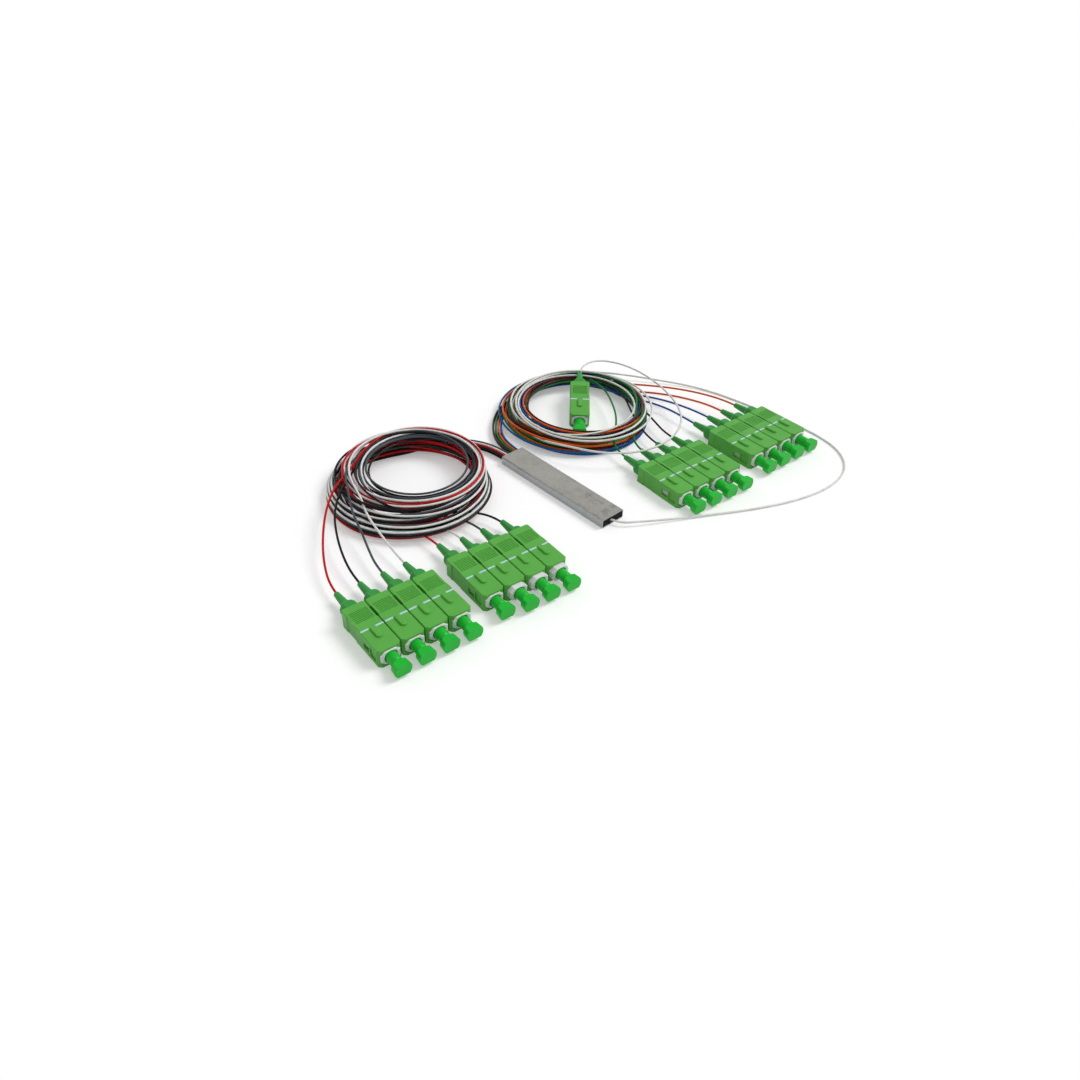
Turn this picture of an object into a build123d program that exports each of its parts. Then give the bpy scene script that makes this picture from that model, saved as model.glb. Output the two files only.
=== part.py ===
from build123d import *
import os
from math import pi, radians, tan

# Fibre splitter with sixteen outputs. A flat steel tube holds the splitter chip; seventeen
# 0.9 mm fibres leave it through two black end plugs and end in green angled plugs with dust caps.
# Millimetres, +Z up. The origin is the middle of the tube's underside and +X points at its input end.

os.makedirs("parts", exist_ok=True)

# Steel tube and its end plugs
tube_length = 60.0
tube_width = 12.0
tube_height = 4.0
tube_wall = 0.4
tube_corner = 0.7
plug_depth = 5.0
plug_recess = 0.3
plug_clearance = 0.05
plug_lead_in = 0.12

# Fibres: outer diameter, and how the sixteen outputs leave the tube in two layers; the wall beside
# the outer lanes is edge_webs times as thick as the web between two lanes
fibre_diameter = 0.9
fibre_clearance = 0.05
lane_count = 8
edge_webs = 4.25
layer_pitch = 1.1
fibre_insert = 2.5
input_lane_y = -0.8
input_height = 1.8

# Splitter chip with its two fibre blocks, glued to the floor of the tube
chip_length = 14.0
chip_width = 4.6
chip_height = 1.5
input_block_length = 6.0
input_block_width = 3.0
output_block_length = 8.0
output_block_width = 5.4
block_height = 2.0
cover_gap = 0.6

# Grip: the outer sleeve of each plug, from its rear edge at 0 forward along the plug's axis
grip_length = 25.0
grip_width = 9.0
grip_height = 7.4
grip_edge = 0.45
grip_rear_chamfer = 0.7
grip_front_chamfer = 1.3
grip_bore_width = 7.5
grip_bore_height = 6.1
grip_bore_corner = 1.45
groove_count = 8
groove_pitch = 0.77
groove_width = 0.36
groove_depth = 0.28
groove_start = 3.55
groove_margin = 1.1
key_length = 5.7
key_width = 2.1
key_height = 0.8
key_start = 13.5
key_edge = 0.35
recess_start = 3.7
recess_end = 9.8
recess_depth = 0.35
recess_ramp = 0.6
window_start = 15.0
window_length = 3.6
window_height = 2.6
window_drop = 0.3
pocket_start = 19.2
pocket_length = 4.0
pocket_height = 4.0
pocket_depth = 0.45

# Plug frame: the white inner body, with the rear stop and its crimp barrel
frame_clearance = 0.1
frame_height_clearance = 0.12
frame_rear = 4.0
frame_proud = 0.3
frame_corner = 1.5
frame_nose_chamfer = 0.4
mouth_radius = 2.5
mouth_depth = 8.0
bulkhead = 2.0
spring_bore_radius = 2.25
latch_start = 6.9
latch_length = 3.0
latch_height = 3.2
latch_depth = 0.55
barrel_radius = 2.0
barrel_length = 5.2
barrel_bore_radius = 0.75
stop_thickness = 1.2

# Ferrule with its flange, its end face polished at an angle
ferrule_radius = 1.25
ferrule_clearance = 0.05
ferrule_proud = 0.7
ferrule_chamfer = 0.3
ferrule_angle = 8.0
flange_radius = 2.1
flange_length = 3.0
flange_float = 0.4
ferrule_tail_radius = 1.1
ferrule_tail_length = 3.6

# Dust cap
cap_radius = 2.18
cap_clearance = 0.08
cap_insert = 6.7
cap_length = 14.6
cap_bore_length = 8.6
cap_waist_radius = 2.05
cap_flare_radius = 3.35
cap_flare_length = 2.9
cap_waist_length = 1.4
cap_flat = 2.25
cap_edge = 0.25

# Boot
boot_length = 12.0
boot_tip_radius = 1.1
boot_cone_radius = 1.65
boot_cone_end = 5.6
boot_shoulder = 3.0
boot_base_radius = 3.3
boot_flat = 2.8
boot_insert = 2.4
boot_clearance = 0.1
boot_bore_length = 8.4

# Play of the grip along the frame, and how far forward the frames of three plugs stand
grip_play = 1.6

# Places of the plugs: each row of four lies side by side, from its first plug's grip rear edge
row_pitch = 9.3
rows = {
    "a": ((9.9, -108.0), -4.9, ("07", "08", "05", "06"), (0, 0, 0, 0)),
    "b": ((11.9, -64.6), -6.1, ("15", "14", "13", "16"), (0, 1, 1, 1)),
    "c": ((16.7, 33.4), -5.3, ("03", "11", "04", "12"), (0, 0, 0, 0)),
    "d": ((18.3, 78.5), -3.4, ("01", "09", "02", "10"), (0, 0, 0, 0)),
}
# The input plug lies in the right coil: its boot rests on the ring, its nose is on the ground
input_tip = (-55.45, 65.95, 9.05)
input_yaw = -44.5
input_pitch = 8.15

# Coils: centre, inner and outer radius, height and edge of each ring of the wound fibres
left_centre = (-38.5, -46.5, 0.0)
left_inner = 21.0
left_outer = 33.8
left_height = 7.4
left_upper_centre = (-41.5, -45.5, 0.0)
left_upper_inner = 19.5
left_upper_outer = 31.0
left_top = 12.2
right_centre = (-38.0, 44.5, 0.0)
right_inner = 25.8
right_outer = 35.5
right_height = 7.6
coil_edge = 2.6
coil_overlap = 1.5

# Straight length of each fibre outside and inside the tip of its boot, and the share of the
# shorter of two runs that the arc between them takes
boot_run = 4.5
arc_share = 0.45

# Routes from the tube's output end into the coils, for the lane nearest the coil,
# and the step from one lane to the next at each point
left_lead = [(-36.5, -4.2), (-46.0, -7.2), (-54.5, -14.8), (-59.8, -22.5), (-62.0, -31.0)]
left_step = [(-0.15, 1.2), (-0.5, 1.12), (-0.8, 0.92), (-1.05, 0.6), (-1.16, 0.3)]
right_lead = [(-36.5, 4.2), (-46.0, 7.6), (-54.0, 14.3), (-59.8, 22.0), (-62.5, 30.5)]
right_step = [(-0.15, -1.2), (-0.5, -1.12), (-0.8, -0.92), (-1.05, -0.6), (-1.16, -0.35)]

# Routes from the coils to the boots
tails = {
    "07": [(-55.5, -63.5, 4.0), (-50.5, -74.5, 5.0), (-41.0, -85.0, 3.2), (-29.0, -94.5, 1.8),
           (-17.5, -101.8, 1.9)],
    "08": [(-51.5, -65.5, 4.5), (-45.5, -75.0, 4.6), (-37.0, -83.5, 3.4), (-26.0, -90.0, 2.2),
           (-15.5, -94.6, 2.2)],
    "05": [(-40.5, -74.0, 4.0), (-32.0, -78.5, 4.2), (-22.5, -81.5, 3.0), (-15.5, -84.3, 2.8)],
    "06": [(-38.0, -70.5, 4.5), (-29.5, -74.2, 4.3), (-19.5, -76.2, 3.2)],
    "15": [(-25.0, -67.5, 4.5), (-15.5, -65.0, 4.4)],
    "14": [(-21.0, -60.0, 5.0), (-13.5, -56.2, 4.7)],
    "13": [(-17.0, -53.0, 5.2), (-11.5, -48.0, 4.9)],
    "16": [(-13.0, -52.0, 3.2), (-10.0, -42.5, 4.2)],
    "10": [(-44.5, 76.0, 4.5), (-35.5, 85.8, 4.5), (-23.5, 95.8, 3.2), (-10.5, 103.2, 2.6)],
    "02": [(-40.0, 74.5, 5.0), (-31.5, 83.5, 4.4), (-20.0, 91.5, 3.2), (-8.0, 96.2, 2.7)],
    "09": [(-36.5, 74.5, 3.6), (-27.5, 82.0, 3.9), (-15.0, 86.8, 3.0)],
    "01": [(-33.5, 73.5, 5.4), (-23.5, 79.5, 4.6), (-11.0, 81.2, 3.2)],
    "12": [(-24.5, 73.0, 4.0), (-14.5, 70.3, 3.6), (-5.5, 66.3, 3.0)],
    "04": [(-19.5, 66.5, 4.6), (-10.5, 60.5, 4.2)],
    "11": [(-14.0, 60.0, 5.4), (-7.5, 51.5, 4.6)],
    "03": [(-12.0, 47.0, 6.0), (-8.2, 39.9, 5.6)],
}
# The input fibre sweeps out past the plugs and back to the right coil, lying on the ground
input_sweep = [
    (34.0, input_lane_y, input_height), (40.5, 6.3, 0.62), (47.0, 18.0, 0.46), (54.5, 34.0, 0.45),
    (63.0, 50.0, 0.45), (70.0, 68.5, 0.45), (74.0, 87.5, 0.45), (71.5, 104.0, 0.45),
    (61.0, 115.5, 0.45), (45.0, 119.5, 0.45), (26.0, 118.5, 0.45), (6.0, 116.5, 0.45),
    (-12.0, 113.5, 0.5), (-25.5, 107.0, 1.0), (-38.0, 98.0, 1.8), (-50.0, 89.0, 2.6),
    (-60.0, 77.5, 3.2), (-65.5, 63.5, 3.8),
]
# Its last loose turn leaves the coil's top, passes over the boots of one row and ends in its own plug
input_loop = [
    (-52.0, 19.0, 6.4), (-41.5, 16.0, 8.1), (-28.0, 14.5, 8.2), (-14.0, 16.0, 8.2), (-1.5, 23.0, 7.9),
    (7.5, 33.5, 7.4), (11.8, 46.5, 7.2), (10.5, 60.0, 7.1), (4.0, 73.0, 6.8), (-7.5, 82.8, 6.6),
    (-22.0, 89.0, 6.8), (-37.5, 91.8, 7.3), (-51.0, 89.5, 8.1), (-60.0, 81.5, 9.0),
]

# Values worked out from the sizes above
axis_height = grip_height / 2
half_width = grip_width / 2
half_height = grip_height / 2
groove_middle = groove_start + groove_pitch * (groove_count - 1) / 2
frame_width = grip_bore_width - 2 * frame_clearance
frame_height = grip_bore_height - 2 * frame_height_clearance
frame_front = grip_length + frame_proud
mouth_floor = frame_front - mouth_depth
bulkhead_rear = mouth_floor - bulkhead
ferrule_tip = frame_front + ferrule_proud
flange_front = bulkhead_rear - flange_float
cap_rear = frame_front - cap_insert
cap_front = cap_rear + cap_length
cavity_width = tube_width - 2 * tube_wall
cavity_height = tube_height - 2 * tube_wall
plug_width = cavity_width - 2 * plug_clearance
plug_height = cavity_height - 2 * plug_clearance
hole_radius = fibre_diameter / 2 + fibre_clearance
lane_web = (plug_width - lane_count * 2 * hole_radius) / (lane_count - 1 + 2 * edge_webs)
lane_pitch = 2 * hole_radius + lane_web
left_base = left_height - coil_overlap


def save(shape, name):
    shape.label = name
    export_step(shape, f"parts/{name}.step")


# Steel tube: drawn flat section with rounded corners, open at both ends
with BuildPart() as housing_tube:
    with BuildSketch(Plane.YZ.offset(-tube_length / 2)):
        with Locations((0, tube_height / 2)):
            RectangleRounded(tube_width, tube_height, tube_corner)
            RectangleRounded(cavity_width, cavity_height, tube_corner - tube_wall, mode=Mode.SUBTRACT)
    extrude(amount=tube_length)
save(housing_tube.part, "housing_tube")

# Output end plug: two layers of holes, one for each output fibre
with BuildPart() as output_end_plug:
    with BuildSketch(Plane.YZ.offset(-tube_length / 2 + plug_recess)):
        with Locations((0, tube_height / 2)):
            RectangleRounded(plug_width, plug_height, tube_corner - tube_wall - plug_clearance)
            with GridLocations(lane_pitch, layer_pitch, lane_count, 2):
                Circle(hole_radius, mode=Mode.SUBTRACT)
    extrude(amount=plug_depth)
    chamfer(output_end_plug.faces().sort_by(Axis.X)[-1].outer_wire().edges(), plug_lead_in)
save(output_end_plug.part, "output_end_plug")

# Input end plug: one hole below its middle
with BuildPart() as input_end_plug:
    with BuildSketch(Plane.YZ.offset(tube_length / 2 - plug_recess - plug_depth)):
        with Locations((0, tube_height / 2)):
            RectangleRounded(plug_width, plug_height, tube_corner - tube_wall - plug_clearance)
        with Locations((input_lane_y, input_height)):
            Circle(hole_radius, mode=Mode.SUBTRACT)
    extrude(amount=plug_depth)
    chamfer(input_end_plug.faces().sort_by(Axis.X)[0].outer_wire().edges(), plug_lead_in)
save(input_end_plug.part, "input_end_plug")

# Splitter chip: waveguide chip with a fibre block bonded to each end, and its glass cover
with BuildPart() as splitter_chip:
    with BuildSketch(Plane.XY.offset(tube_wall)):
        Rectangle(chip_length, chip_width)
    extrude(amount=chip_height)
    with BuildSketch(Plane.XY.offset(tube_wall)):
        with Locations(((chip_length + input_block_length) / 2, 0)):
            Rectangle(input_block_length, input_block_width)
        with Locations((-(chip_length + output_block_length) / 2, 0)):
            Rectangle(output_block_length, output_block_width)
    extrude(amount=block_height)
    with BuildSketch(Plane.XY.offset(tube_wall + chip_height)):
        Rectangle(chip_length - 2 * cover_gap, chip_width - cover_gap)
    extrude(amount=block_height - chip_height)
save(splitter_chip.part, "splitter_chip")

# Grip: plan outline with cut corners, met by its rounded section
with BuildPart() as grip:
    with BuildSketch(Plane.XY.offset(-half_height)):
        with BuildLine():
            Polyline(
                (0, half_width - grip_rear_chamfer),
                (grip_rear_chamfer, half_width),
                (grip_length - grip_front_chamfer, half_width),
                (grip_length, half_width - grip_front_chamfer),
                (grip_length, -half_width + grip_front_chamfer),
                (grip_length - grip_front_chamfer, -half_width),
                (grip_rear_chamfer, -half_width),
                (0, -half_width + grip_rear_chamfer),
                close=True,
            )
        make_face()
    extrude(amount=grip_height)
    with BuildSketch(Plane.YZ):
        RectangleRounded(grip_width, grip_height, grip_edge)
    extrude(amount=grip_length, mode=Mode.INTERSECT)
    # finger grooves across the top and the underside of the rear third
    for side in (1, -1):
        with BuildSketch(Plane.XY.offset(side * half_height)):
            with Locations((groove_middle, 0)):
                with GridLocations(groove_pitch, 1, groove_count, 1):
                    Rectangle(groove_width, grip_width - 2 * groove_margin)
        extrude(amount=-side * groove_depth, mode=Mode.SUBTRACT)
    # the flanks step in beside the grooves, where fingers hold the grip
    for side in (1, -1):
        with BuildSketch(Plane.XY.offset(-half_height)):
            with BuildLine():
                Polyline(
                    (recess_start, side * half_width),
                    (recess_start + recess_ramp, side * (half_width - recess_depth)),
                    (recess_end - recess_ramp, side * (half_width - recess_depth)),
                    (recess_end, side * half_width),
                    close=True,
                )
            make_face()
        extrude(amount=grip_height, mode=Mode.SUBTRACT)
    # key on the top
    with BuildSketch(Plane.XY.offset(half_height)):
        with Locations((key_start + key_length / 2, 0)):
            SlotOverall(key_length, key_width)
    extrude(amount=key_height)
    fillet(grip.faces().sort_by(Axis.Z)[-1].edges(), key_edge)
    # passage for the frame, and the latch window through both flanks
    with BuildSketch(Plane.YZ):
        Rectangle(grip_bore_width, grip_bore_height)
        chamfer(vertices(), grip_bore_corner)
    extrude(amount=grip_length, mode=Mode.SUBTRACT)
    with BuildSketch(Plane.XZ):
        with Locations((window_start + window_length / 2, -window_drop)):
            RectangleRounded(window_length, window_height, grip_edge)
    extrude(amount=grip_width, both=True, mode=Mode.SUBTRACT)
    # shallow pocket in each flank behind the front edge
    for side in (1, -1):
        with BuildSketch(Plane.XZ.offset(-side * half_width)):
            with Locations((pocket_start + pocket_length / 2, 0)):
                RectangleRounded(pocket_length, pocket_height, grip_edge)
        extrude(amount=side * pocket_depth, mode=Mode.SUBTRACT)

# Plug frame: chamfered body, round mouth for the ferrule and the cap, rear stop with crimp barrel
with BuildPart() as plug_frame:
    with BuildSketch(Plane.YZ.offset(frame_rear)):
        Rectangle(frame_width, frame_height)
        chamfer(vertices(), frame_corner)
    extrude(amount=frame_front - frame_rear)
    chamfer(plug_frame.faces().sort_by(Axis.X)[-1].edges(), frame_nose_chamfer)
    with BuildSketch(Plane.YZ.offset(mouth_floor)):
        Circle(mouth_radius)
    extrude(amount=mouth_depth, mode=Mode.SUBTRACT)
    with BuildSketch(Plane.YZ.offset(bulkhead_rear)):
        Circle(ferrule_radius + ferrule_clearance)
    extrude(amount=bulkhead, mode=Mode.SUBTRACT)
    with BuildSketch(Plane.YZ.offset(frame_rear + stop_thickness)):
        Circle(spring_bore_radius)
    extrude(amount=bulkhead_rear - frame_rear - stop_thickness, mode=Mode.SUBTRACT)
    with BuildSketch(Plane.YZ.offset(frame_rear - barrel_length)):
        Circle(barrel_radius)
    extrude(amount=barrel_length)
    with BuildSketch(Plane.YZ.offset(frame_rear - barrel_length)):
        Circle(barrel_bore_radius)
    extrude(amount=barrel_length + stop_thickness, mode=Mode.SUBTRACT)
    # latch pockets in the flanks, behind the grip's windows
    for side in (1, -1):
        with BuildSketch(Plane.XZ.offset(-side * frame_width / 2)):
            with Locations((frame_front - latch_start - latch_length / 2, 0)):
                Rectangle(latch_length, latch_height)
        extrude(amount=side * latch_depth, mode=Mode.SUBTRACT)

# Ferrule: ceramic pin in a flange, with a short tail; its tip is cut at the polish angle
with BuildPart() as ferrule:
    with BuildSketch(Plane.XZ):
        with BuildLine():
            Polyline(
                (flange_front - flange_length - ferrule_tail_length, 0),
                (flange_front - flange_length - ferrule_tail_length, ferrule_tail_radius),
                (flange_front - flange_length, ferrule_tail_radius),
                (flange_front - flange_length, flange_radius),
                (flange_front, flange_radius),
                (flange_front, ferrule_radius),
                (ferrule_tip - ferrule_chamfer, ferrule_radius),
                (ferrule_tip, ferrule_radius - ferrule_chamfer),
                (ferrule_tip, 0),
                close=True,
            )
        make_face()
    revolve(axis=Axis.X)
    with BuildSketch(Plane((ferrule_tip, 0, 0), z_dir=(1, 0, tan(radians(ferrule_angle))))):
        Circle(2 * ferrule_radius)
    extrude(amount=ferrule_radius, mode=Mode.SUBTRACT)

# Dust cap: a sleeve over the ferrule with a waist and a flared end, flat above and below
with BuildPart() as dust_cap:
    with BuildSketch(Plane.XZ):
        with BuildLine():
            Polyline(
                (cap_rear, ferrule_radius + cap_clearance),
                (cap_rear, cap_radius - cap_edge),
                (cap_rear + cap_edge, cap_radius),
                (cap_front - cap_flare_length - cap_waist_length, cap_radius),
                (cap_front - cap_flare_length - cap_waist_length + cap_edge, cap_waist_radius),
                (cap_front - cap_flare_length - cap_waist_length / 2, cap_waist_radius),
                (cap_front - cap_flare_length, cap_flare_radius - cap_edge),
                (cap_front - cap_edge, cap_flare_radius),
                (cap_front, cap_flare_radius - cap_edge),
                (cap_front, 0),
                (cap_rear + cap_bore_length, 0),
                (cap_rear + cap_bore_length, ferrule_radius + cap_clearance),
                close=True,
            )
        make_face()
    revolve(axis=Axis.X)
    for side in (1, -1):
        with BuildSketch(Plane.XY.offset(side * cap_flat)):
            with Locations((cap_front - cap_flare_length / 2 - cap_waist_length / 4, 0)):
                Rectangle(cap_flare_length + cap_waist_length / 2, 2 * cap_flare_radius)
        extrude(amount=side * cap_flare_radius, mode=Mode.SUBTRACT)

# Boot: slender cone that swells through a shoulder into a base with flat top and bottom
with BuildPart() as boot:
    with BuildSketch(Plane.XZ):
        with BuildLine():
            cone = Line((-boot_length, boot_tip_radius), (-boot_cone_end, boot_cone_radius))
            shoulder = Spline(
                (-boot_cone_end, boot_cone_radius),
                (-boot_shoulder, boot_base_radius),
                tangents=[cone % 1, (1, 0)],
            )
            Polyline(
                shoulder @ 1,
                (boot_insert, boot_base_radius),
                (boot_insert, barrel_radius + boot_clearance),
                (frame_rear - barrel_length - boot_clearance, barrel_radius + boot_clearance),
                (frame_rear - barrel_length - boot_clearance, hole_radius),
                (-boot_length, hole_radius),
                cone @ 0,
            )
        make_face()
    revolve(axis=Axis.X)
    with BuildSketch(Plane.XZ):
        with Locations(((boot_insert - boot_length) / 2, 0)):
            Rectangle(boot_length + boot_insert, 2 * boot_flat)
    extrude(amount=2 * boot_base_radius, both=True, mode=Mode.INTERSECT)

# Left coil: a wide ring of turns with a looser, smaller ring on it
with BuildPart() as coil_left:
    with BuildSketch(Plane(left_centre, x_dir=(1, 0, 0), z_dir=(0, -1, 0))):
        with Locations(((left_inner + left_outer) / 2, left_height / 2)):
            RectangleRounded(left_outer - left_inner, left_height, coil_edge)
    revolve(axis=Axis(left_centre, (0, 0, 1)))
    with BuildSketch(Plane(left_upper_centre, x_dir=(1, 0, 0), z_dir=(0, -1, 0))):
        with Locations(((left_upper_inner + left_upper_outer) / 2, (left_base + left_top) / 2)):
            RectangleRounded(left_upper_outer - left_upper_inner, left_top - left_base, coil_edge)
    revolve(axis=Axis(left_upper_centre, (0, 0, 1)))
save(coil_left.part, "coil_left")

# Right coil: one ring
with BuildPart() as coil_right:
    with BuildSketch(Plane(right_centre, x_dir=(1, 0, 0), z_dir=(0, -1, 0))):
        with Locations(((right_inner + right_outer) / 2, right_height / 2)):
            RectangleRounded(right_outer - right_inner, right_height, coil_edge)
    revolve(axis=Axis(right_centre, (0, 0, 1)))
save(coil_right.part, "coil_right")

# Where each plug lies: its place on the grip's rear edge, and how far its frame stands forward
places = {}
for corner, angle, ports, forward in rows.values():
    row = Location((corner[0], corner[1], axis_height), (0, 0, angle))
    for number, port in enumerate(ports):
        places[port] = (row * Location((0, row_pitch * number, 0)), forward[number] * grip_play)
input_place = Location(input_tip, (0, 0, input_yaw)) * Location((0, 0, 0), (0, input_pitch, 0))
places["input"] = (input_place * Location((boot_length, 0, 0)), 0)

frames = []
ferrules = []
boots = []
for port, (place, forward) in places.items():
    core = place * Location((forward, 0, 0))
    save(grip.part.moved(place), f"grip_{port}")
    save(dust_cap.part.moved(core), f"dust_cap_{port}")
    frames.append(plug_frame.part.moved(core))
    ferrules.append(ferrule.part.moved(core))
    boots.append(boot.part.moved(core))
save(Compound(children=frames), "plug_frames")
save(Compound(children=ferrules), "ferrules")
save(Compound(children=boots), "boots")


def fibre(route):
    # a tube along straight runs joined by arcs as large as the runs allow
    points = [Vector(*point) for point in route]
    runs = [after - before for before, after in zip(points, points[1:])]
    radii = []
    for before, after in zip(runs, runs[1:]):
        half_turn = radians(before.get_angle(after)) / 2
        radii.append(arc_share * min(before.length, after.length) / tan(half_turn))
    with BuildPart() as tube:
        with BuildLine() as path:
            FilletPolyline(*points, radius=radii)
        with BuildSketch(Plane(origin=path.line @ 0, z_dir=path.line % 0)):
            Circle(fibre_diameter / 2)
        sweep()
    return tube.part, min(radii), path.wires()[0].length


def boot_end(port):
    # the last two points of a route: just behind the boot's tip, and inside it
    place, forward = places[port]
    core = place * Location((forward, 0, 0))
    outside = core * Location((-boot_length - boot_run, 0, 0))
    inside = core * Location((-boot_length + boot_run, 0, 0))
    return [tuple(outside.position), tuple(inside.position)]


def lead(lane, layer):
    # an output fibre from inside the end plug into its coil
    y = lane_pitch * ((lane_count - 1) / 2 - lane)
    z = tube_height / 2 + layer_pitch * (layer - 0.5)
    if lane < lane_count // 2:
        points, steps, out = right_lead, right_step, lane
    else:
        points, steps, out = left_lead, left_step, lane_count - 1 - lane
    start = (-tube_length / 2 + plug_recess + fibre_insert, y, z)
    first = (points[0][0] + out * steps[0][0], y, z)
    rest = [(x + out * dx, y0 + out * dy, z) for (x, y0), (dx, dy) in zip(points[1:], steps[1:])]
    return [start, first] + rest


for number in range(2 * lane_count):
    port = f"{number + 1:02d}"
    lane, layer = number % lane_count, 1 - number // lane_count
    stretches = [fibre(lead(lane, layer)), fibre(tails[port] + boot_end(port))]
    lengths = [round(item[2], 1) for item in stretches]
    print(f"fibre_{port} smallest radius {min(item[1] for item in stretches):.1f} lengths {lengths}")
    save(Compound(children=[item[0] for item in stretches]), f"fibre_{port}")

input_start = (tube_length / 2 - plug_recess - fibre_insert, input_lane_y, input_height)
stretches = [fibre([input_start] + input_sweep), fibre(input_loop + boot_end("input"))]
lengths = [round(item[2], 1) for item in stretches]
print(f"fibre_input smallest radius {min(item[1] for item in stretches):.1f} lengths {lengths}")
for item in stretches:
    section = pi * (fibre_diameter / 2) ** 2
    print(f"volume over section times length {item[0].volume / (section * item[2]):.4f}")
save(Compound(children=[item[0] for item in stretches]), "fibre_input")
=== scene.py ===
from math import atan2, cos, pi, radians, sin

import bpy
import numpy as np
from mathutils import Matrix, Vector


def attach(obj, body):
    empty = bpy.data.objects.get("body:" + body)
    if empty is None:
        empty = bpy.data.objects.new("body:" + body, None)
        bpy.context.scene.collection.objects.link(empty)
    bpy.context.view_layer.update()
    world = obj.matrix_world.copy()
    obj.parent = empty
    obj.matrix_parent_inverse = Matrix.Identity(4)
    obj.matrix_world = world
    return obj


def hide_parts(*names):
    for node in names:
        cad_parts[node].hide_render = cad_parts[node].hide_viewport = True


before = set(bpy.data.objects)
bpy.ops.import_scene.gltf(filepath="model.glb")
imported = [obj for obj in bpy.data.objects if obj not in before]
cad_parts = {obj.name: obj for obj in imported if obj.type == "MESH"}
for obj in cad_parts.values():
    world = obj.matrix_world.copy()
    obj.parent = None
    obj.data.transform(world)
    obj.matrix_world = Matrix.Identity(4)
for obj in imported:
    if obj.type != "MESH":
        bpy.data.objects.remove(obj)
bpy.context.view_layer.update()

# Sixteen-way fibre splitter lying on a pale floor. Sizes in the dictionaries are millimetres.
mm = 0.001
scene = bpy.context.scene
scene.view_settings.view_transform = "Standard"
nodeObjects = {name: bpy.data.objects[name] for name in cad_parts}
print("frame loaded,", len(nodeObjects), "nodes")

# the photograph's viewpoint; the lens and the sensor in millimetres, the clip distances in metres
cameraView = {
    "place": (215.64, -219.49, 217.98),
    "ahead": (-0.56179, 0.54422, -0.62307),
    "up": (-0.47091, 0.40886, 0.78171),
    "lens": 30.154,
    "sensor": 36.0,
    "clip": (0.01, 20.0),
}


def addCamera(view):
    # the camera looks along ahead; its right is up crossed with the way back
    data = bpy.data.cameras.new("camera")
    data.lens = view["lens"]
    data.sensor_width = view["sensor"]
    data.clip_start, data.clip_end = view["clip"]
    back = -Vector(view["ahead"]).normalized()
    right = Vector(view["up"]).cross(back).normalized()
    turned = Matrix((right, back.cross(right), back)).transposed().to_4x4()
    camera = bpy.data.objects.new("camera", data)
    camera.matrix_world = Matrix.Translation(Vector(view["place"]) * mm) @ turned
    scene.collection.objects.link(camera)
    scene.camera = camera


addCamera(cameraView)
print("camera set")

# where the plugs lie: the middle of the rear edge of each row's first grip, the row's turn, its ports,
# and which of its frames stand forward
plugRows = {
    "a": ((9.9, -108.0), -4.9, ("07", "08", "05", "06"), (0, 0, 0, 0)),
    "b": ((11.9, -64.6), -6.1, ("15", "14", "13", "16"), (0, 1, 1, 1)),
    "c": ((16.7, 33.4), -5.3, ("03", "11", "04", "12"), (0, 0, 0, 0)),
    "d": ((18.3, 78.5), -3.4, ("01", "09", "02", "10"), (0, 0, 0, 0)),
}
plugSizes = {"pitch": 9.3, "axisHeight": 3.7, "bootLength": 12.0, "play": 1.6, "bootRun": 4.5}
inputPlug = {"tip": (-55.45, 65.95, 9.05), "yaw": -44.5, "pitch": 8.15}


def plugPlaces():
    # each plug: its rear edge's middle, its forward, side and up directions, and its frame's shift; a
    # row's plugs stand one pitch apart along its side, and the input's plug runs down at its pitch angle
    places = {}
    for rear, turn, ports, forward in plugRows.values():
        a = radians(turn)
        ahead = np.array((cos(a), sin(a), 0.0))
        side = np.array((-sin(a), cos(a), 0.0))
        for number, port in enumerate(ports):
            origin = np.array((*rear, plugSizes["axisHeight"])) + side * plugSizes["pitch"] * number
            shift = forward[number] * plugSizes["play"]
            places[port] = (origin, ahead, side, np.array((0.0, 0.0, 1.0)), shift)
    a, b = radians(inputPlug["yaw"]), radians(inputPlug["pitch"])
    ahead = np.array((cos(a) * cos(b), sin(a) * cos(b), -sin(b)))
    side = np.array((-sin(a), cos(a), 0.0))
    origin = np.array(inputPlug["tip"]) + ahead * plugSizes["bootLength"]
    places["input"] = (origin, ahead, side, np.cross(ahead, side), 0.0)
    return places


places = plugPlaces()

# the fibres' routes outside the coils; inside the output end they lie in lanes, in two layers about a
# middle height
fibre = {"diameter": 0.9, "laneCount": 8, "lanePitch": 1.2, "layerPitch": 1.1, "layerMiddle": 2.0,
         "tubeEnd": -27.2, "inputStart": (27.2, -0.8, 1.8), "roundSteps": 4, "lengthSteps": 8}
# the first lane's route on each side, and each point's step towards the next lane
leads = {
    "left": ([(-36.5, -4.2), (-46.0, -7.2), (-54.5, -14.8), (-59.8, -22.5), (-62.0, -31.0)],
             [(-0.15, 1.2), (-0.5, 1.12), (-0.8, 0.92), (-1.05, 0.6), (-1.16, 0.3)]),
    "right": ([(-36.5, 4.2), (-46.0, 7.6), (-54.0, 14.3), (-59.8, 22.0), (-62.5, 30.5)],
              [(-0.15, -1.2), (-0.5, -1.12), (-0.8, -0.92), (-1.05, -0.6), (-1.16, -0.35)]),
}
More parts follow.
